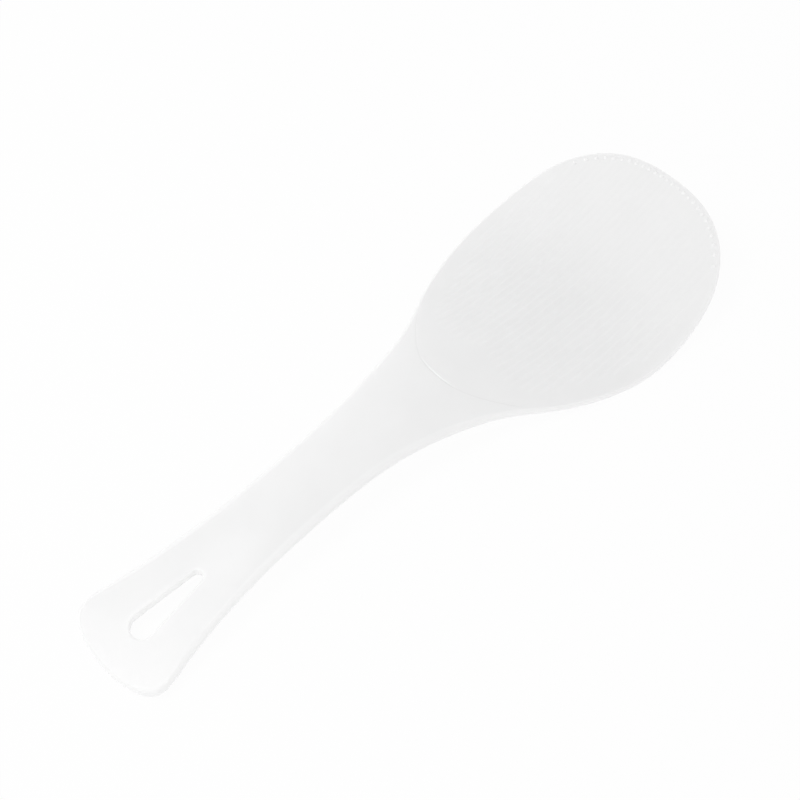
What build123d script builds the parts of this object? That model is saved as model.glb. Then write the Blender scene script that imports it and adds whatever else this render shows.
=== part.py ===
from build123d import *
import math
import os

os.makedirs("parts", exist_ok=True)

# Rice paddle: a bent plate, with an oval blade, an arched handle and a hanging hole, all one piece.
# The origin is under the middle. +X runs to the tip of the blade, +Y across, +Z up from the table.
# Positions along the paddle are given as shares of its length, from the tail to the tip.

# Whole paddle
length = 200.0
half_width = 34.1
rise = 15.4          # lower edge of the tip above the table
crown = 17.0         # top of the blade's middle line at the tip above the table

# Outline, seen from above: share of the length, share of the half width
outline_shares = [
    (0.0, 0.0), (0.019, 0.411), (0.0435, 0.450), (0.0835, 0.402), (0.1785, 0.324), (0.283, 0.2925),
    (0.383, 0.302), (0.4595, 0.359), (0.573, 0.543), (0.645, 0.760), (0.743, 0.961), (0.8155, 1.0),
    (0.9195, 0.882), (0.985, 0.493), (1.0, 0.0)]

# Lower edge of the side: share of the length, share of the rise
edge_shares = [
    (0.0, 0.0), (0.15, 0.320), (0.30, 0.502), (0.45, 0.572), (0.58, 0.342), (0.70, 0.050), (0.82, 0.0855),
    (0.92, 0.546), (1.0, 1.0)]

# Top of the middle line: share of the length, share of the crown
ridge_shares = [
    (0.0, 0.147), (0.05, 0.275), (0.10, 0.372), (0.15, 0.457), (0.22, 0.602), (0.30, 0.732), (0.38, 0.822),
    (0.46, 0.863), (0.51, 0.835), (0.56, 0.735), (0.65, 0.400), (0.74, 0.270), (0.83, 0.339), (0.92, 0.657),
    (1.0, 1.0)]

# Thickness, the same as the height of the side: share of the length, share of the thickness
thickness = 2.6
thickness_shares = [(0.0, 0.96), (0.20, 1.0), (0.42, 1.0), (0.56, 0.90), (0.68, 0.73), (0.84, 0.69), (1.0, 0.60)]

# Rounding of the upper edge: share of the length, share of the shoulder
shoulder = 1.9
shoulder_shares = [
    (0.0, 0.30), (0.06, 0.64), (0.14, 0.90), (0.25, 1.0), (0.40, 1.0), (0.54, 0.80), (0.66, 0.46), (0.80, 0.42),
    (1.0, 0.40)]

# Rounding of the lower edge, and how far up the side it goes
foot_round = 0.8
heel_gap = 0.4
belt_share = 0.5
round_share = 0.55

# The cross sections fan out round both ends, from points of the middle line
tail_reach = 6.0
tail_fan = 30.0
tip_reach = 22.0
tip_fan = 72.0
fan_power = 1.3
station_shares = [
    0.0, 0.004, 0.010, 0.017, 0.024, 0.032, 0.040, 0.048, 0.056, 0.064, 0.073, 0.084, 0.098, 0.115, 0.14, 0.17,
    0.21, 0.25, 0.29, 0.33, 0.365, 0.395, 0.42, 0.445, 0.47, 0.495, 0.52, 0.545, 0.57, 0.60, 0.63, 0.66,
    0.69, 0.72, 0.75, 0.78, 0.81, 0.835, 0.86, 0.88, 0.90, 0.915, 0.93, 0.945, 0.96, 0.975, 0.987,
    0.995, 1.0]

# Hanging hole, a drop with its wide end toward the tail
hole_wide_at = 12.8
hole_narrow_at = 29.4
hole_wide_radius = 3.2
hole_narrow_radius = 1.6

# Low step between the handle and the face of the blade, an arc across the throat:
# share of the length, share of the half width
step = 0.35
step_reach = 5.0
step_sink = 0.5
step_depth = 0.9
step_shares = [
    (0.5425, 0.0), (0.5465, 0.16), (0.5565, 0.275), (0.5675, 0.36), (0.5865, 0.48), (0.604, 0.575),
    (0.618, 0.63)]
step_columns = 24
step_rows = 5
step_fade_share = 0.45

# Row of dots round the tip, one at the end of each fine row of the face: low studs with a flat top
row_pitch = 2.05
row_start_share = 0.5
rows_each_side = 13
dot_radius = 0.55
dot_top_radius = 0.25
dot_height = 0.28
dot_root = 0.6
dot_inset = 1.75


def spline(pairs, level=False):
    """A smooth line through pairs of place and height, with free or level ends."""
    at = [pair[0] for pair in pairs]
    value = [pair[1] for pair in pairs]
    last = len(at) - 1
    gap = [at[i + 1] - at[i] for i in range(last)]
    slope = [(value[i + 1] - value[i]) / gap[i] for i in range(last)]
    below, middle, above, right = [0.0] * (last + 1), [1.0] * (last + 1), [0.0] * (last + 1), [0.0] * (last + 1)
    for i in range(1, last):
        below[i], middle[i], above[i] = gap[i - 1], 2 * (gap[i - 1] + gap[i]), gap[i]
        right[i] = 6 * (slope[i] - slope[i - 1])
    if level:
        middle[0], above[0], right[0] = 2 * gap[0], gap[0], 6 * slope[0]
        below[last], middle[last], right[last] = gap[-1], 2 * gap[-1], -6 * slope[-1]
    for i in range(1, last + 1):
        share = below[i] / middle[i - 1]
        middle[i] -= share * above[i - 1]
        right[i] -= share * right[i - 1]
    bend = [0.0] * (last + 1)
    bend[last] = right[last] / middle[last]
    for i in range(last - 1, -1, -1):
        bend[i] = (right[i] - above[i] * bend[i + 1]) / middle[i]

    def height(place):
        i = 0
        while i < last - 1 and place > at[i + 1]:
            i += 1
        a, b = at[i + 1] - place, place - at[i]
        return ((bend[i] * a ** 3 + bend[i + 1] * b ** 3) / (6 * gap[i])
                + (value[i] / gap[i] - bend[i] * gap[i] / 6) * a
                + (value[i + 1] / gap[i] - bend[i + 1] * gap[i] / 6) * b)

    return height


def sized(shares, size):
    return spline([(share * length, part * size) for share, part in shares])


edge_low = sized(edge_shares, rise)
ridge = sized(ridge_shares, crown)
side = sized(thickness_shares, thickness)
rounding = sized(shoulder_shares, shoulder)

# Half of the outline, from the tail to the tip
half_points = [(a * length, b * half_width) for a, b in outline_shares]
knots = [0.0]
for (x0, y0), (x1, y1) in zip(half_points, half_points[1:]):
    knots.append(knots[-1] + math.sqrt(math.hypot(x1 - x0, y1 - y0)))
outline_x = spline([(knot, point[0]) for knot, point in zip(knots, half_points)], level=True)
outline_y = spline([(knot, point[1]) for knot, point in zip(knots, half_points)])
fine = 600
halvings = 40
trace = [(outline_x(knots[-1] * i / fine), outline_y(knots[-1] * i / fine)) for i in range(fine + 1)]
run = [0.0]
for (x0, y0), (x1, y1) in zip(trace, trace[1:]):
    run.append(run[-1] + math.hypot(x1 - x0, y1 - y0))
half_run = run[-1]


def outline(distance):
    """Point of the outline at a distance from the middle of the tail."""
    i = 0
    while i < fine - 1 and run[i + 1] < distance:
        i += 1
    part = (distance - run[i]) / (run[i + 1] - run[i])
    knot = knots[-1] * (i + part) / fine
    return outline_x(knot), outline_y(knot)


def spine(distance):
    """Point of the middle line from which the section at that distance starts."""
    x = outline(distance)[0]
    left = half_run - distance
    if distance < tail_fan:
        end = outline(tail_fan)[0]
        x = tail_reach + (end - tail_reach) * (distance / tail_fan) ** fan_power
    if left < tip_fan:
        start = outline(half_run - tip_fan)[0]
        end = length - tip_reach
        x = end - (end - start) * (left / tip_fan) ** fan_power
    return x


def smooth(share):
    share = min(max(share, 0.0), 1.0)
    return share * share * (3 - 2 * share)


class Section:
    """Half a cross section: heights over the distance from the middle line."""

    def __init__(self, distance):
        self.x, self.y = outline(distance)
        self.start = spine(distance)
        self.reach = math.hypot(self.x - self.start, self.y)
        ahead = (self.x - self.start) / self.reach
        small = length / fine
        lean = (ridge(self.start + small) - ridge(self.start - small)) / (2 * small)
        self.low = edge_low(self.x)
        self.high = self.low + side(self.x)
        self.q0 = ridge(self.start)
        self.q1 = self.q0 + lean * ahead * self.reach / 2
        self.q2 = self.high
        self.thick = side(self.x)

    def top(self, out):
        t = out / self.reach
        return self.q0 * (1 - t) ** 2 + 2 * self.q1 * t * (1 - t) + self.q2 * t * t

    def slope(self, out):
        t = out / self.reach
        return 2 * ((self.q1 - self.q0) * (1 - t) + (self.q2 - self.q1) * t) / self.reach

    def place(self, out, height):
        t = out / self.reach
        return (self.start + (self.x - self.start) * t - length / 2, self.y * t, height)

    def edges(self):
        r = rounding(self.x)
        bend = round_share
        belt = self.low + self.thick * belt_share
        turn = self.reach - r
        face = self.inner(turn, 0)
        shoulder_line = [face[-1], (turn + bend * r, face[-1][1] + self.slope(turn) * bend * r),
                         (self.reach, belt + bend * (self.high - belt)), (self.reach, belt)]
        toe = self.reach - foot_round
        foot = self.top(toe) - self.thick
        foot_line = [shoulder_line[-1], (self.reach, belt - bend * (belt - foot)),
                     (toe + (1 - bend) * foot_round, foot), (toe, foot)]
        back = self.inner(toe - heel_gap, self.thick)
        return face, shoulder_line, foot_line, back[::-1]

    def inner(self, end, drop):
        """The face from the middle line out to a distance, or the back that far below it."""
        t = end / self.reach
        return [(0, self.q0 - drop), (end / 2, self.q0 + (self.q1 - self.q0) * t - drop), (end, self.top(end) - drop)]


def half_section(distance):
    section = Section(distance)
    a, b, c, d = [[section.place(*point) for point in curve] for curve in section.edges()]
    lines = [Edge.make_bezier(*a), Edge.make_bezier(*b), Edge.make_bezier(*c), Edge.make_line(c[-1], d[0]),
             Edge.make_bezier(*d), Edge.make_line(d[-1], a[0])]
    return Wire(lines)


def halve(low, high, is_below):
    """The place between low and high where is_below turns false."""
    for _ in range(halvings):
        middle = (low + high) / 2
        low, high = (middle, high) if is_below(middle) else (low, middle)
    return low


def face_height(x, y):
    """Height of the face at a point seen from above, x from the tail."""
    def is_before(distance):
        (end_x, end_y), start = outline(distance), spine(distance)
        return (end_x - start) * abs(y) < end_y * (x - start)

    section = Section(halve(0.0, half_run, is_before))
    return section.top(min(math.hypot(x - section.start, y), section.reach))


def inset_point(distance, inset):
    """Point that far in from the outline, seen from above."""
    (x, y), (x1, y1) = outline(distance), outline(distance - dot_radius)
    gap = math.hypot(x - x1, y - y1)
    return x + (y - y1) / gap * inset, y - (x - x1) / gap * inset


half_body = Solid.make_loft([half_section(share * half_run) for share in station_shares])
skin = [face for face in half_body.faces() if abs(face.center().Y) > thickness]
body = Solid(Shell(skin + [face.mirror(Plane.XZ) for face in skin]))
ground = body.bounding_box().min.Z
body = body.moved(Location((0, 0, -ground)))

# The step is a thin wedge on the face: full height at the arc, sunk in the face farther on
arc = spline([(-b * half_width, a * length) for a, b in reversed(step_shares[1:])]
             + [(b * half_width, a * length) for a, b in step_shares])
arc_end = step_shares[-1][1] * half_width
rows = []
for i in range(step_columns + 1):
    y = arc_end * (2 * i / step_columns - 1)
    full = 1 - 2 * smooth((abs(y) / arc_end - step_fade_share) / (1 - step_fade_share))
    row = []
    for j in range(step_rows + 1):
        share = j / step_rows
        x = arc(y) + step_reach * share
        raised = step * full * (1 - share) - step_sink * share * share
        row.append((x - length / 2, y, face_height(x, y) - ground + raised))
    rows.append(row)
step_face = Face.make_surface_from_array_of_points(rows)

# Where the dots stand
dots = []
for i in range(rows_each_side):
    y = (i + row_start_share) * row_pitch
    place = halve(half_run - tip_fan, half_run - dot_radius, lambda distance: inset_point(distance, dot_inset)[1] > y)
    x = inset_point(place, dot_inset)[0]
    z = face_height(x, y) - ground - dot_root
    dots += [(x - length / 2, y, z), (x - length / 2, -y, z)]

with BuildPart() as paddle:
    add(body)
    extrude(step_face, amount=step_depth, dir=(0, 0, -1))
    with BuildSketch(Plane.XY):
        with Locations((hole_wide_at - length / 2, 0)):
            Circle(hole_wide_radius)
        with Locations((hole_narrow_at - length / 2, 0)):
            Circle(hole_narrow_radius)
        make_hull()
    extrude(amount=length, mode=Mode.SUBTRACT)
    with Locations(*dots):
        Cone(dot_radius, dot_top_radius, dot_root + dot_height, align=(Align.CENTER, Align.CENTER, Align.MIN))

paddle.part.label = "paddle"
export_step(paddle.part, "parts/paddle.step")
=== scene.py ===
import math

import bpy
import numpy as np
from mathutils import Matrix, Vector
from mathutils.geometry import delaunay_2d_cdt
from mathutils.kdtree import KDTree

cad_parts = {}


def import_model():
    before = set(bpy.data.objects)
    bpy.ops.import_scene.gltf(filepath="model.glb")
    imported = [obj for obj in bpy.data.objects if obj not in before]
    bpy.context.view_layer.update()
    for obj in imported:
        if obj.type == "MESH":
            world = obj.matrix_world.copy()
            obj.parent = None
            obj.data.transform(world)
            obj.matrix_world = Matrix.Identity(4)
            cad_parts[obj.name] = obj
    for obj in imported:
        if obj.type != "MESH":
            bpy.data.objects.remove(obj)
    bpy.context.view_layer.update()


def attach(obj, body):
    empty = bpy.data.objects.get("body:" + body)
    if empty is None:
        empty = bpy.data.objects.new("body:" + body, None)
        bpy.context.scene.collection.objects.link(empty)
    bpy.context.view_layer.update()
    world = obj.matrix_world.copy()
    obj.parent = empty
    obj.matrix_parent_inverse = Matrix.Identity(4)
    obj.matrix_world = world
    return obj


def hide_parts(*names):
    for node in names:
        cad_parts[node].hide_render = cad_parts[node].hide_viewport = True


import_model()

# White translucent rice paddle, lying on a white table with its face up.
# Lengths are in metres. In the shape's own functions x is measured from the tail, and heights
# from the level of the edge's lowest point. The mesh is moved to the frame at the end.
mm = 0.001

# Whole paddle
length = 200 * mm
half_width = 34.1 * mm
rise = 15.4 * mm
crown = 17.0 * mm

# Outline, seen from above: share of the length, share of the half width
outline_shares = [
    (0.0, 0.0), (0.019, 0.411), (0.0435, 0.450), (0.0835, 0.402), (0.1785, 0.324), (0.283, 0.2925),
    (0.383, 0.302), (0.4595, 0.359), (0.573, 0.543), (0.645, 0.760), (0.743, 0.961), (0.8155, 1.0),
    (0.9195, 0.882), (0.985, 0.493), (1.0, 0.0)]

# Lower edge of the side: share of the length, share of the rise
edge_shares = [
    (0.0, 0.0), (0.15, 0.320), (0.30, 0.502), (0.45, 0.572), (0.58, 0.342), (0.70, 0.050), (0.82, 0.0855),
    (0.92, 0.546), (1.0, 1.0)]

# Top of the middle line: share of the length, share of the crown
ridge_shares = [
    (0.0, 0.147), (0.05, 0.275), (0.10, 0.372), (0.15, 0.457), (0.22, 0.602), (0.30, 0.732), (0.38, 0.822),
    (0.46, 0.863), (0.51, 0.835), (0.56, 0.735), (0.65, 0.400), (0.74, 0.270), (0.83, 0.339), (0.92, 0.657),
    (1.0, 1.0)]

# Thickness and the rounding of the upper edge: share of the length, share of the size
thickness = 2.6 * mm
thickness_shares = [
    (0.0, 0.96), (0.20, 1.0), (0.42, 1.0), (0.56, 0.90), (0.68, 0.73), (0.84, 0.69), (1.0, 0.60)]
shoulder = 1.9 * mm
shoulder_shares = [
    (0.0, 0.30), (0.06, 0.64), (0.14, 0.90), (0.25, 1.0), (0.40, 1.0), (0.54, 0.80), (0.66, 0.46),
    (0.80, 0.42), (1.0, 0.40)]
foot_round = 0.8 * mm
heel_gap = 0.4 * mm
belt_share = 0.5
round_share = 0.55

# The cross sections fan out round both ends, from points of the middle line
tail_reach = 6.0 * mm
tail_fan = 30.0 * mm
tip_reach = 22.0 * mm
tip_fan = 72.0 * mm
fan_power = 1.3

# How finely the outline is measured and searched, and the small distance over which slopes are taken
fine = 600
halvings = 40
small = length / fine

# Hanging hole, a drop with its wide end toward the tail, and the rounding of its edges
hole_wide_at = 12.8 * mm
hole_narrow_at = 29.4 * mm
hole_wide_radius = 3.2 * mm
hole_narrow_radius = 1.6 * mm
hole_round = 0.5 * mm

# Low step between the handle and the face of the blade: share of the length, share of the half width
step = 0.35 * mm
step_front = 0.22 * mm
step_reach = 2.2 * mm
step_full_to = 2.5 * mm
step_gone_at = 7.0 * mm
step_shares = [
    (0.5425, 0.0), (0.5465, 0.16), (0.5565, 0.275), (0.5675, 0.36), (0.5865, 0.48), (0.604, 0.575),
    (0.618, 0.63)]

# Thin line that goes on along the step's line to both sides
crease_depth = 0.05 * mm
crease_half = 0.16 * mm
crease_fade = 4 * mm

# Fine raised rows along the face, and where they begin: distance from the middle line, place from the tail
row_pitch = 2.05 * mm
row_height = 0.15 * mm
row_power = 3
row_fade_in = 3.5 * mm
row_fade = 1.2 * mm
rows_weaken_at = 150 * mm
rows_weaken_over = 40 * mm
rows_weaken_by = 0.65
rows_with_dots = 13
rows_each_side = 15
row_inset = 3.5 * mm
row_begins = [
    (0 * mm, 126 * mm), (4 * mm, 123 * mm), (9 * mm, 121.5 * mm), (15 * mm, 122.5 * mm), (20 * mm, 128 * mm),
    (25 * mm, 140 * mm), (28 * mm, 147 * mm), (31 * mm, 160 * mm)]

# Dots at the ends of the rows, round the tip
dot_radius = 0.55 * mm
dot_top_radius = 0.3 * mm
dot_height = 0.28 * mm
dot_inset = 1.75 * mm

# Painted light and shade in the base colour: how much lighter the dots and the step's front (painted
# glints), the rows' crests (painted light), the side, most toward the tail, and the wall of the hole
# (painted light for light through the plastic) are than the plastic round them, and how much darker the thin
# line is (painted shade)
dot_painted_glint = 0.11
dot_painted_glint_gain = 1.4
side_painted_light = 0.02
tail_side_painted_light = 0.05
tail_side_over = 90 * mm
hole_wall_painted_light = 0.12
step_painted_glint = 0.11
row_crest_painted_light = 0.018
crease_painted_shade = 0.05

# Painted shade in the base colour: how much darker the translucent plastic is made where it is thin, and in
# the middle of the blade, which is close to the table, where less light comes through it
thin_painted_shade = 0.09
low_painted_shade = 0.025
low_at = 148 * mm
low_along = 22 * mm
low_across = 20 * mm

# How fine the mesh is
edge_spacing = 0.6 * mm
fill_spacing = 1.5 * mm
back_spacing = 2.2 * mm
row_line_shares = [-0.5, -0.36, -0.24, -0.12, 0.0, 0.12, 0.24, 0.36]
row_spacing = 1.4 * mm
row_end_spacing = 0.35 * mm
dot_rings = [dot_top_radius / 2, dot_top_radius, 0.38 * mm, 0.46 * mm, dot_radius, 0.68 * mm]
dot_ring_count = 12
step_spacing = 0.5 * mm
step_lines = [
    -1.0 * mm, -0.48 * mm, -2 * crease_half, -1.5 * crease_half, -crease_half, -0.5 * crease_half, 0 * mm,
    0.06 * mm, 0.11 * mm, 0.16 * mm, step_front, 0.35 * mm, 0.8 * mm, 1.5 * mm, 2.4 * mm]
shoulder_steps = 7
foot_steps = 5
hole_steps = 5
hole_narrow_count = 18
hole_wide_count = 32
hole_side_count = 20

# Rings of mesh points beside the edges, and how far in they lie
face_insets = [0.5 * mm, 1.1 * mm]
hole_insets = [0.5 * mm, 1.2 * mm]
back_insets = [0.8 * mm, 1.8 * mm]
back_hole_insets = [0.6 * mm, 1.5 * mm]

# How far mesh points keep from the edges
dot_clear = 0.12 * mm
step_clear = 0.3 * mm
row_clear = 0.3 * mm
fill_clear = 0.5 * mm
back_fill_clear = 1.2 * mm

# How far mesh points keep from the points set before them
dot_least = 0.06 * mm
step_least = 0.04 * mm
row_least = 0.16 * mm
face_ring_least = 0.4 * mm
hole_ring_least = 0.3 * mm
back_ring_least = 0.5 * mm
back_hole_ring_least = 0.4 * mm
fill_least_share = 0.6
middle_width = 0.01 * mm
weld = 1e-5 * mm

# The plastic: its skin, the light inside it, its faint clouds and the grain of its skin
skin_roughness = 0.33
plastic_ior = 1.49
scatter_weight = 0.9
scatter_radii = (1.0, 1.0, 1.0)
scatter_scale = 2.5 * mm
noise_detail = 3
cloud_scale = 90
cloud_low, cloud_high = 0.25, 0.75
cloud_darkest, cloud_lightest = 0.870, 0.886
grain_scale = 2500
grain_strength = 0.15
grain_depth = 0.01 * mm

# The white table, and the share of its light that it gives off by itself: as it is seen, and as it
# lights the paddle
table_half = 1.5
table_colour = (0.96, 0.96, 0.96, 1)
glow_seen = 0.93
glow_felt = 0.7

# The studio's light from the horizon and from overhead, and its one soft lamp
horizon_light = 0.96
overhead_light = 0.66
lamp_place = (-0.26, 0.16, 0.53)
lamp_size = 0.3
lamp_power = 0.74


def spline(pairs, level=False):
    """A smooth line through pairs of place and height, with free or level ends, as a function of places."""
    at, value = np.array(pairs, float).T
    last = len(at) - 1
    gap = np.diff(at)
    slope = np.diff(value) / gap
    matrix, right = np.eye(last + 1), np.zeros(last + 1)
    for i in range(1, last):
        matrix[i, i - 1:i + 2] = gap[i - 1], 2 * (gap[i - 1] + gap[i]), gap[i]
        right[i] = 6 * (slope[i] - slope[i - 1])
    if level:
        matrix[0, :2], right[0] = (2 * gap[0], gap[0]), 6 * slope[0]
        matrix[last, -2:], right[last] = (gap[-1], 2 * gap[-1]), -6 * slope[-1]
    bend = np.linalg.solve(matrix, right)

    def height(place):
        i = np.clip(np.searchsorted(at, place) - 1, 0, last - 1)
        a, b = at[i + 1] - place, place - at[i]
        return ((bend[i] * a ** 3 + bend[i + 1] * b ** 3) / (6 * gap[i])
                + (value[i] / gap[i] - bend[i] * gap[i] / 6) * a
                + (value[i + 1] / gap[i] - bend[i + 1] * gap[i] / 6) * b)

    return height


def sized(shares, size):
    """A smooth line through shares of the length and of a size."""
    return spline([(share * length, part * size) for share, part in shares])


edge_low = sized(edge_shares, rise)
ridge = sized(ridge_shares, crown)
side = sized(thickness_shares, thickness)
rounding = sized(shoulder_shares, shoulder)

half_points = np.array(outline_shares) * (length, half_width)
chords = np.hypot(*np.diff(half_points, axis=0).T)
knots = np.concatenate([[0], np.cumsum(np.sqrt(chords))])
outline_x = spline(list(zip(knots, half_points[:, 0])), level=True)
outline_y = spline(list(zip(knots, half_points[:, 1])))
fine_knots = np.linspace(0, knots[-1], fine + 1)
fine_steps = np.hypot(np.diff(outline_x(fine_knots)), np.diff(outline_y(fine_knots)))
run = np.concatenate([[0], np.cumsum(fine_steps)])
half_run = run[-1]


def outline(distance):
    """Points of the outline at distances from the middle of the tail."""
    knot = np.interp(distance, run, fine_knots)
    return outline_x(knot), outline_y(knot)


def spine(distance):
    """Points of the middle line from which the sections at those distances start."""
    x = outline(distance)[0]
    tail_end = outline(tail_fan)[0]
    tail_share = np.clip(distance / tail_fan, 0, 1)
    x = np.where(distance < tail_fan, tail_reach + (tail_end - tail_reach) * tail_share ** fan_power, x)
    tip_start, tip_end = outline(half_run - tip_fan)[0], length - tip_reach
    tip_share = np.clip((half_run - distance) / tip_fan, 0, 1)
    return np.where(tip_share < 1, tip_end - (tip_end - tip_start) * tip_share ** fan_power, x)


def smooth(share):
    """A smooth rise from 0 to 1 while the share goes from 0 to 1."""
    share = np.clip(share, 0, 1)
    return share * share * (3 - 2 * share)


def bezier(points, share):
    """Point of a cubic curve through the first and last of four points."""
    left = 1 - share
    weights = left ** 3, 3 * left ** 2 * share, 3 * left * share ** 2, share ** 3
    return [sum(weight * point[i] for weight, point in zip(weights, points)) for i in range(2)]


class Sections:
    """Half cross sections at distances along the outline: heights over the way out from the middle line."""

    def __init__(self, distance):
        self.x, self.y = outline(distance)
        self.start = spine(distance)
        self.reach = np.hypot(self.x - self.start, self.y)
        ahead = (self.x - self.start) / self.reach
        lean = (ridge(self.start + small) - ridge(self.start - small)) / (2 * small)
        self.low = edge_low(self.x)
        self.thick = side(self.x)
        self.high = self.low + self.thick
        self.round = rounding(self.x)
        self.turn = self.reach - self.round
        self.q0 = ridge(self.start)
        self.q1 = self.q0 + lean * ahead * self.reach / 2

    def top(self, out):
        """Height of the face that far out from the middle line."""
        t = out / self.reach
        return self.q0 * (1 - t) ** 2 + 2 * self.q1 * t * (1 - t) + self.high * t * t

    def slope(self, out):
        """How fast the face rises there on the way out."""
        t = out / self.reach
        return 2 * ((self.q1 - self.q0) * (1 - t) + (self.high - self.q1) * t) / self.reach

    def from_above(self, out):
        """Points seen from above, x from the tail."""
        t = out / self.reach
        return np.stack([self.start + (self.x - self.start) * t, self.y * t], axis=1)

    def place(self, out, height):
        """Points in space."""
        return np.column_stack([self.from_above(out), height])

    def rim(self):
        """Rings of points from the face's edge, round the side, to the edge of the back."""
        belt = self.low + self.thick * belt_share
        r, bend = self.round, round_share
        face = self.top(self.turn)
        upper = [(self.turn, face), (self.turn + bend * r, face + self.slope(self.turn) * bend * r),
                 (self.reach, belt + bend * (self.high - belt)), (self.reach, belt)]
        toe = self.reach - foot_round
        foot = self.top(toe) - self.thick
        lower = [(self.reach, belt), (self.reach, belt - bend * (belt - foot)),
                 (toe + (1 - bend) * foot_round, foot), (toe, foot)]
        heel = toe - heel_gap
        rings = [self.place(*bezier(upper, i / shoulder_steps)) for i in range(shoulder_steps)]
        rings += [self.place(*bezier(lower, i / foot_steps)) for i in range(foot_steps + 1)]
        return rings + [self.place(heel, self.top(heel) - self.thick)]


def distance_at(x, y):
    """Distance along the outline of the section that passes under each point seen from above."""
    low, high = np.zeros_like(x), np.full_like(x, half_run)
    for _ in range(halvings):
        middle = (low + high) / 2
        (end_x, end_y), start = outline(middle), spine(middle)
        before = (end_x - start) * np.abs(y) < end_y * (x - start)
        low, high = np.where(before, middle, low), np.where(before, high, middle)
    return low


def over(x, y):
    """The sections under points seen from above, and how far out in them each point is."""
    sections = Sections(distance_at(x, y))
    return sections, np.hypot(x - sections.start, y)


def plain_heights(x, y):
    """Heights of the smooth face and of the back at points seen from above."""
    sections, out = over(x, y)
    face = sections.top(np.minimum(out, sections.reach))
    return face, face - sections.thick


def inset_points(distance, inset):
    """Points that far in from the outline, seen from above."""
    (x, y), (x1, y1) = outline(distance), outline(distance - dot_radius)
    gap = np.hypot(x - x1, y - y1)
    return x + (y - y1) / gap * inset, y - (x - x1) / gap * inset


def tip_crossing(y, inset):
    """Where rows at those distances from the middle meet a line that far in from the tip's outline."""
    low, high = np.full_like(y, half_run - tip_fan), np.full_like(y, half_run - dot_radius)
    for _ in range(halvings):
        middle = (low + high) / 2
        outside = inset_points(middle, inset)[1] > y
        low, high = np.where(outside, middle, low), np.where(outside, high, middle)
    return inset_points(low, inset)[0]


# The rows, from the middle outwards
row_y = (np.arange(rows_each_side) + 0.5) * row_pitch
row_from = spline(row_begins)(row_y)
row_to = np.where(np.arange(rows_each_side) < rows_with_dots, tip_crossing(row_y, dot_inset),
                  tip_crossing(row_y, row_inset))
dot_places = np.stack([row_to, row_y], axis=1)[:rows_with_dots]
dot_places = np.concatenate([dot_places, dot_places * (1, -1)])

# The step's line across the throat, as x over y
step_places = [(b * half_width, a * length) for a, b in step_shares]
step_line = spline([(-y, x) for y, x in reversed(step_places[1:])] + step_places)
step_end = step_places[-1][0]


def step_slope(y):
    """How fast the step's line moves toward the tip with y."""
    return (step_line(y + small) - step_line(y - small)) / (2 * small)


def ahead_of_step(x, y):
    """How far points are from the step's line, toward the tip."""
    inside = np.clip(y, -step_end, step_end)
    return (x - step_line(inside)) / np.hypot(1, step_slope(inside))


def step_height(x, y):
    """Height of the low step over the smooth face."""
    ahead = ahead_of_step(x, y)
    full = 1 - smooth((np.abs(y) - step_full_to) / (step_gone_at - step_full_to))
    return step * full * smooth(ahead / step_front) * (1 - smooth((ahead - step_front) / step_reach))


def crease(x, y):
    """Share of the thin line's depth at points of the face."""
    fade = smooth((step_end - np.abs(y)) / crease_fade)
    return fade * smooth(1 - np.abs(ahead_of_step(x, y) + crease_half) / crease_half)


def row_relief(x, y):
    """Height of the fine rows over the smooth face."""
    place = np.abs(y) / row_pitch
    i = np.clip(place.astype(int), 0, rows_each_side - 1)
    across = np.clip(np.abs(place - i - 0.5), 0, 0.5)
    along = smooth((x - row_from[i]) / row_fade_in) * smooth((row_to[i] - x) / row_fade + 1)
    weak = 1 - rows_weaken_by * smooth((x - rows_weaken_at) / rows_weaken_over)
    return row_height * weak * along * np.cos(math.pi * across) ** (2 * row_power)


def dot_relief(x, y):
    """Height of the dots at the rows' ends over the smooth face."""
    height = np.zeros_like(x)
    for dot_x, dot_y in dot_places:
        away = np.hypot(x - dot_x, y - dot_y)
        height = np.maximum(height, dot_height * smooth((dot_radius - away) / (dot_radius - dot_top_radius)))
    return height


def painted_face_light(x, y):
    """Painted light and shade in the face's colour, at points of the face."""
    from_ends = 1 - np.abs(2 * ahead_of_step(x, y) / step_front - 1)
    front = smooth(2 * from_ends) * (1 - smooth((np.abs(y) - step_full_to) / step_full_to))
    dot = smooth(dot_painted_glint_gain * dot_relief(x, y) / dot_height)
    row = row_relief(x, y) / row_height
    low = np.exp(-(((x - low_at) / low_along) ** 2 + (y / low_across) ** 2) / 2)
    thin = 1 - side(x) / thickness
    # Painted glints on the dots and the step's front, and painted light on the rows' crests
    lighter = dot_painted_glint * dot + row_crest_painted_light * row + step_painted_glint * front
    # Painted shade in the thin line, the low middle of the blade and the thin parts
    darker = crease_painted_shade * crease(x, y) + low_painted_shade * low + thin_painted_shade * thin
    return 1 + lighter - darker


def painted_side_light(x):
    """Painted light round the side, most toward the tail, standing in for light through the translucent
    plastic.
    """
    return 1 + side_painted_light + tail_side_painted_light * (1 - smooth(x / tail_side_over))


def face_heights(x, y):
    """Heights of the face with its step, thin line, rows and dots."""
    relief = np.maximum(row_relief(x, y), dot_relief(x, y)) - crease_depth * crease(x, y)
    return plain_heights(x, y)[0] + step_height(x, y) + relief


def hole_gap(x, y):
    """How far points seen from above are outside the hanging hole."""
    along, across = x - hole_wide_at, np.abs(y)
    apart = hole_narrow_at - hole_wide_at
    lean = (hole_wide_radius - hole_narrow_radius) / apart
    flat = math.sqrt(1 - lean ** 2)
    turn = flat * along - lean * across
    straight = flat * across + lean * along - hole_wide_radius
    wide = np.hypot(along, across) - hole_wide_radius
    narrow = np.hypot(along - apart, across) - hole_narrow_radius
    return np.where(turn < 0, wide, np.where(turn > flat * apart, narrow, straight))


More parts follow.
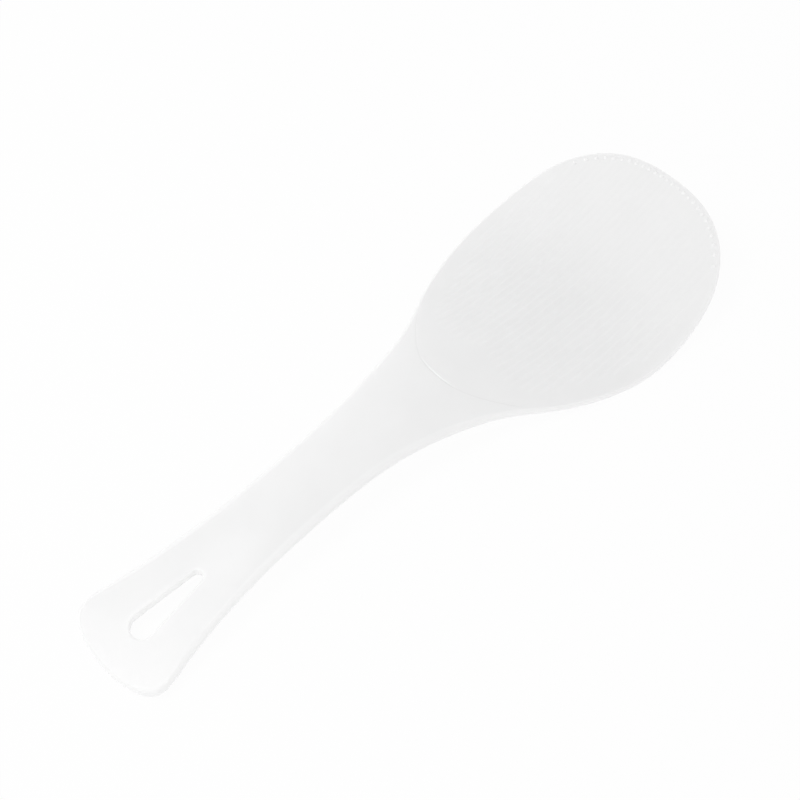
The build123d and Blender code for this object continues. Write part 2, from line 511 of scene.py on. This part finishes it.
def hole_ring(gap):
    """Outline of the hanging hole, that far outside it, going round against the clock."""
    lean = math.acos((hole_wide_radius - hole_narrow_radius) / (hole_narrow_at - hole_wide_at))
    wide, narrow = hole_wide_radius + gap, hole_narrow_radius + gap
    ends = []
    for centre, radius, start, end, count in (
            (hole_narrow_at, narrow, -lean, lean, hole_narrow_count),
            (hole_wide_at, wide, lean, 2 * math.pi - lean, hole_wide_count)):
        angle = np.linspace(start, end, count)
        ends.append(np.stack([centre + radius * np.cos(angle), radius * np.sin(angle)], axis=1))
    share = np.linspace(0, 1, hole_side_count + 2)[1:-1, None]
    bridges = [ends[i][-1] * (1 - share) + ends[1 - i][0] * share for i in range(2)]
    return np.concatenate([ends[0], bridges[0], ends[1], bridges[1]])


def both_sides(points):
    """The points and their mirror images, without doubling those on the middle line."""
    return np.concatenate([points, points[np.abs(points[:, 1]) > middle_width] * (1, -1)])


def clear_of(points, taken, least):
    """The points that are more than that far from the taken ones."""
    tree = KDTree(len(taken))
    for i, point in enumerate(taken):
        tree.insert((*point, 0), i)
    tree.balance()
    return np.array([point for point in points if tree.find((*point, 0))[2] > least])


def whole_ring(points):
    """A ring round the whole paddle from points along the half with y above zero."""
    other_half = points[-2:0:-1].copy()
    other_half[:, 1] *= -1
    return np.concatenate([points, other_half])


def triangles(points, edge_count, fixed):
    """Triangles over points seen from above, first the outer edge's, then up to fixed the hole's."""
    edges = []
    for loop in (list(range(edge_count)), list(range(edge_count, fixed))):
        edges += list(zip(loop, loop[1:] + loop[:1]))
    made = delaunay_2d_cdt([Vector(point) for point in points], edges, [], 1, weld)
    sources = [source[0] for source in made[3]]
    faces = np.array([[sources[i] for i in face] for face in made[2]])
    centres = points[faces].mean(axis=1)
    return faces[hole_gap(centres[:, 0], centres[:, 1]) > hole_round]


def along_line(start, end, spacing):
    """Even places from start to end, about that far apart."""
    return np.linspace(start, end, max(2, int(round((end - start) / spacing)) + 1))


def row_points():
    """Points along the rows, closer at the rows' ends."""
    found = []
    for i in range(rows_each_side):
        lines = row_line_shares if i < rows_each_side - 1 else row_line_shares + [0.5]
        start, end = row_from[i], row_to[i]
        first, last = start + row_fade, end - row_fade
        places = np.concatenate([
            along_line(start, first, row_end_spacing)[:-1],
            along_line(first, last, row_spacing) if last > first else [],
            along_line(last, end, row_end_spacing)[1:]])
        for share in lines:
            y = (i + 0.5 + share) * row_pitch
            found.append(np.stack([places, np.full_like(places, y)], axis=1))
    return both_sides(np.concatenate(found))


def dot_points():
    """The dots' middles, and rings of points round them."""
    angle = np.linspace(0, 2 * math.pi, dot_ring_count + 1)[:-1]
    found = []
    for dot_x, dot_y in dot_places:
        found.append([[dot_x, dot_y]])
        for radius in dot_rings:
            found.append(np.stack([dot_x + radius * np.cos(angle), dot_y + radius * np.sin(angle)], axis=1))
    return np.concatenate(found)


def step_points():
    """Points in lines along the step, close together on its front."""
    y = along_line(-step_end, step_end, step_spacing)
    slope = step_slope(y)
    found = []
    for ahead in step_lines:
        forward = ahead / np.hypot(1, slope)
        found.append(np.stack([step_line(y) + forward, y - forward * slope], axis=1))
    return np.concatenate(found)


def fill_points(spacing):
    """Points in staggered lines all over the paddle."""
    found = []
    count = int(half_width / spacing) + 1
    for i, x in enumerate(np.arange(0, length, spacing * math.sqrt(3) / 2)):
        y = (np.arange(-count, count + 1) + 0.5 * (i % 2)) * spacing
        found.append(np.stack([np.full_like(y, x), y], axis=1))
    found = np.concatenate(found)
    return found[np.abs(found[:, 1]) < half_width]


def inside_edge(points, gap):
    """The points that are that far inside the face's edge and outside the hole."""
    sections, out = over(points[:, 0], points[:, 1])
    limit = sections.turn - gap
    return points[(out < limit) & (hole_gap(points[:, 0], points[:, 1]) > hole_round + gap)]


def face_points(sections, hole):
    """Points seen from above for the face: its edge, the hole's edge and what lies between."""
    taken = whole_ring(sections.from_above(sections.turn))
    edge_count = len(taken)
    taken = np.concatenate([taken, hole])
    fixed = len(taken)
    for points, gap, least in (
            (dot_points(), dot_clear, dot_least),
            (step_points(), step_clear, step_least),
            (row_points(), row_clear, row_least)):
        taken = np.concatenate([taken, clear_of(inside_edge(points, gap), taken, least)])
    for inset in face_insets:
        ring = whole_ring(sections.from_above(sections.turn - inset))
        taken = np.concatenate([taken, clear_of(ring, taken, face_ring_least)])
    for inset in hole_insets:
        taken = np.concatenate([taken, clear_of(hole_ring(hole_round + inset), taken, hole_ring_least)])
    fill = inside_edge(fill_points(fill_spacing), fill_clear)
    taken = np.concatenate([taken, clear_of(fill, taken, fill_least_share * fill_spacing)])
    return taken, edge_count, fixed


def back_points(sections, hole, heel_ring):
    """Points seen from above for the back: its edge, the hole's edge and what lies between."""
    taken = np.concatenate([heel_ring[:, :2], hole])
    for inset in back_insets:
        ring = whole_ring(sections.from_above(sections.reach - foot_round - heel_gap - inset))
        taken = np.concatenate([taken, clear_of(ring, taken, back_ring_least)])
    for inset in back_hole_insets:
        taken = np.concatenate([taken, clear_of(hole_ring(hole_round + inset), taken, back_hole_ring_least)])
    fill = inside_edge(fill_points(back_spacing), back_fill_clear)
    return np.concatenate([taken, clear_of(fill, taken, fill_least_share * back_spacing)])


def band(upper, lower):
    """Four-sided faces between two closed rings of point numbers."""
    count = len(upper)
    return [(lower[i], upper[i], upper[(i + 1) % count], lower[(i + 1) % count]) for i in range(count)]


def paddle_mesh():
    """The whole paddle as one closed mesh."""
    distances = np.linspace(0, half_run, int(half_run / edge_spacing) + 1)
    sections = Sections(distances)
    rings = [whole_ring(ring) for ring in sections.rim()]
    hole = hole_ring(hole_round)
    vertices, faces = [], []

    def add(points):
        """Adds points in space and gives their numbers."""
        first = sum(len(block) for block in vertices)
        vertices.append(points)
        return list(range(first, first + len(points)))

    # The face
    points, edge_count, fixed = face_points(sections, hole)
    heights = face_heights(points[:, 0], points[:, 1])
    heights[:edge_count] = rings[0][:, 2]
    face_numbers = add(np.column_stack([points, heights]))
    edge_loop, hole_loop = face_numbers[:edge_count], face_numbers[edge_count:fixed]
    faces += [tuple(face) for face in triangles(points, edge_count, fixed)]

    # The back
    points = back_points(sections, hole, rings[-1])
    backs = plain_heights(points[:, 0], points[:, 1])[1]
    backs[:edge_count] = rings[-1][:, 2]
    back_numbers = add(np.column_stack([points, backs]))
    faces += [tuple(back_numbers[i] for i in face[::-1]) for face in triangles(points, edge_count, fixed)]

    # The side
    side_start = sum(len(block) for block in vertices)
    numbers = [edge_loop] + [add(ring) for ring in rings[1:-1]] + [back_numbers[:edge_count]]
    for upper, lower in zip(numbers, numbers[1:]):
        faces += band(upper, lower)

    # The wall of the hole, rounded at both edges
    wall_start = sum(len(block) for block in vertices)
    numbers = [hole_loop]
    angles = [math.pi / 2 * i / hole_steps for i in range(1, hole_steps + 1)]
    for angle, upper in [(angle, True) for angle in angles] + [(angle, False) for angle in angles[-2::-1]]:
        ring = hole_ring(hole_round * (1 - math.sin(angle)))
        face, back = plain_heights(ring[:, 0], ring[:, 1])
        drop = hole_round * (1 - math.cos(angle))
        numbers.append(add(np.column_stack([ring, face - drop if upper else back + drop])))
    numbers.append(back_numbers[edge_count:fixed])
    for upper, lower in zip(numbers, numbers[1:]):
        faces += band(upper, lower)

    points = np.concatenate(vertices)
    # Painted light and shade, kept per point, that scales the base colour: the side and the hole's wall are
    # painted lighter
    painted_light = np.ones(len(points))
    painted_light[side_start:wall_start] = painted_side_light(points[side_start:wall_start, 0])
    painted_light[wall_start:] = 1 + hole_wall_painted_light
    painted_light[face_numbers] = painted_face_light(*points[face_numbers, :2].T)
    painted_light[hole_loop] = 1 + side_painted_light
    points[:, 0] -= length / 2
    points[:, 2] -= points[:, 2].min()
    mesh = bpy.data.meshes.new("paddle_moulding")
    mesh.from_pydata(points.tolist(), [], [[int(i) for i in face] for face in faces])
    mesh.attributes.new("painted_light", "FLOAT", "POINT").data.foreach_set("value", painted_light)
    mesh.shade_smooth()
    return mesh


def material(name):
    """A new material with its nodes and links."""
    made = bpy.data.materials.new(name)
    made.use_nodes = True
    nodes, links = made.node_tree.nodes, made.node_tree.links
    return made, nodes, links


def plastic():
    """White translucent polypropylene with a satin skin."""
    made, nodes, links = material("white_polypropylene")
    shader = nodes["Principled BSDF"]
    shader.inputs["Roughness"].default_value = skin_roughness
    shader.inputs["IOR"].default_value = plastic_ior
    shader.inputs["Subsurface Weight"].default_value = scatter_weight
    shader.inputs["Subsurface Radius"].default_value = scatter_radii
    shader.inputs["Subsurface Scale"].default_value = scatter_scale
    place = nodes.new("ShaderNodeTexCoord")
    cloud = nodes.new("ShaderNodeTexNoise")
    cloud.inputs["Scale"].default_value = cloud_scale
    cloud.inputs["Detail"].default_value = noise_detail
    body = nodes.new("ShaderNodeMapRange")
    body.inputs["From Min"].default_value = cloud_low
    body.inputs["From Max"].default_value = cloud_high
    body.inputs["To Min"].default_value = cloud_darkest
    body.inputs["To Max"].default_value = cloud_lightest
    # The base colour is scaled by the mesh's painted light and shade
    painted_light = nodes.new("ShaderNodeAttribute")
    painted_light.attribute_name = "painted_light"
    colour = nodes.new("ShaderNodeMath")
    colour.operation = "MULTIPLY"
    links.new(place.outputs["Object"], cloud.inputs["Vector"])
    links.new(cloud.outputs["Fac"], body.inputs["Value"])
    links.new(body.outputs["Result"], colour.inputs[0])
    links.new(painted_light.outputs["Fac"], colour.inputs[1])
    links.new(colour.outputs[0], shader.inputs["Base Color"])
    grain = nodes.new("ShaderNodeTexNoise")
    grain.inputs["Scale"].default_value = grain_scale
    grain.inputs["Detail"].default_value = noise_detail
    bump = nodes.new("ShaderNodeBump")
    bump.inputs["Strength"].default_value = grain_strength
    bump.inputs["Distance"].default_value = grain_depth
    links.new(place.outputs["Object"], grain.inputs["Vector"])
    links.new(grain.outputs["Fac"], bump.inputs["Height"])
    links.new(bump.outputs["Normal"], shader.inputs["Normal"])
    return made


def seen_directly(nodes, links):
    """A value of 1 for camera, glossy and transmission rays."""
    path = nodes.new("ShaderNodeLightPath")
    either = nodes.new("ShaderNodeMath")
    either.operation = "MAXIMUM"
    links.new(path.outputs["Is Camera Ray"], either.inputs[0])
    links.new(path.outputs["Is Glossy Ray"], either.inputs[1])
    all_three = nodes.new("ShaderNodeMath")
    all_three.operation = "MAXIMUM"
    links.new(either.outputs[0], all_three.inputs[0])
    links.new(path.outputs["Is Transmission Ray"], all_three.inputs[1])
    return all_three.outputs[0]


def floor():
    """A white table top that keeps the paddle's shadow."""
    made, nodes, links = material("white_table")
    nodes.remove(nodes["Principled BSDF"])
    diffuse = nodes.new("ShaderNodeBsdfDiffuse")
    diffuse.inputs["Color"].default_value = table_colour
    white = nodes.new("ShaderNodeEmission")
    white.inputs["Strength"].default_value = 1.0
    share = nodes.new("ShaderNodeMapRange")
    share.inputs["To Min"].default_value = glow_felt
    share.inputs["To Max"].default_value = glow_seen
    mix = nodes.new("ShaderNodeMixShader")
    links.new(seen_directly(nodes, links), share.inputs["Value"])
    links.new(share.outputs["Result"], mix.inputs["Fac"])
    links.new(diffuse.outputs[0], mix.inputs[1])
    links.new(white.outputs[0], mix.inputs[2])
    links.new(mix.outputs[0], nodes["Material Output"].inputs["Surface"])
    mesh = bpy.data.meshes.new("table_top")
    corners = [(x * table_half, y * table_half, 0) for x, y in ((-1, -1), (1, -1), (1, 1), (-1, 1))]
    mesh.from_pydata(corners, [], [(0, 1, 2, 3)])
    mesh.materials.append(made)
    top = bpy.data.objects.new("table_top", mesh)
    bpy.context.collection.objects.link(top)


def world():
    """Plain studio light, lighter near the horizon, in front of a white background."""
    made = bpy.data.worlds.new("studio")
    made.use_nodes = True
    nodes, links = made.node_tree.nodes, made.node_tree.links
    nodes["Background"].inputs["Color"].default_value = (1, 1, 1, 1)
    direction = nodes.new("ShaderNodeTexCoord")
    parts = nodes.new("ShaderNodeSeparateXYZ")
    level = nodes.new("ShaderNodeMapRange")
    level.inputs["To Min"].default_value = horizon_light
    level.inputs["To Max"].default_value = overhead_light
    strength = nodes.new("ShaderNodeMapRange")
    strength.inputs["To Max"].default_value = 1.0
    links.new(direction.outputs["Generated"], parts.inputs["Vector"])
    links.new(parts.outputs["Z"], level.inputs["Value"])
    links.new(level.outputs["Result"], strength.inputs["To Min"])
    links.new(seen_directly(nodes, links), strength.inputs["Value"])
    links.new(strength.outputs["Result"], nodes["Background"].inputs["Strength"])
    bpy.context.scene.world = made


def lamp():
    """One round soft lamp that shines at the origin."""
    data = bpy.data.lights.new("key", "AREA")
    data.shape = "DISK"
    data.size = lamp_size
    data.energy = lamp_power
    made = bpy.data.objects.new("key", data)
    made.location = lamp_place
    made.rotation_euler = (-Vector(lamp_place)).to_track_quat("-Z", "Y").to_euler()
    bpy.context.collection.objects.link(made)


def camera():
    """A camera at the photograph's view, which has the target at the target pixel."""
    elevation, turn, roll = math.radians(57.31), math.radians(43.30), math.radians(0.15)
    distance = 374 * mm
    pixels_per_mm = 3.906
    focal_pixels = pixels_per_mm * distance / mm
    frame_pixels = 800
    target_pixel = (411.4, 404.5)
    target_height = 7.86 * mm
    sensor_width = 36
    nearest, farthest = 0.01, 10
    target = Vector((0, 0, target_height))
    ahead = Vector((math.sin(turn), math.cos(turn), 0))
    back = -math.cos(elevation) * ahead + Vector((0, 0, math.sin(elevation)))
    right = Vector((math.cos(turn), -math.sin(turn), 0))
    up = math.sin(elevation) * ahead + Vector((0, 0, math.cos(elevation)))
    rolled_right = math.cos(roll) * right - math.sin(roll) * up
    rolled_up = math.sin(roll) * right + math.cos(roll) * up
    data = bpy.data.cameras.new("camera")
    data.sensor_width = sensor_width
    data.lens = focal_pixels / frame_pixels * data.sensor_width
    data.shift_x = (frame_pixels / 2 - target_pixel[0]) / frame_pixels
    data.shift_y = (target_pixel[1] - frame_pixels / 2) / frame_pixels
    data.clip_start, data.clip_end = nearest, farthest
    made = bpy.data.objects.new("camera", data)
    turned = Matrix((rolled_right, rolled_up, back)).transposed().to_4x4()
    turned.translation = target + back * distance
    made.matrix_world = turned
    bpy.context.collection.objects.link(made)
    bpy.context.scene.camera = made


camera()
world()
lamp()
floor()

paddle = bpy.data.objects.new("paddle_moulding", paddle_mesh())
bpy.context.collection.objects.link(paddle)
paddle.data.materials.append(plastic())
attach(paddle, "root")
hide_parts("paddle")

bpy.context.scene.view_settings.view_transform = "Standard"
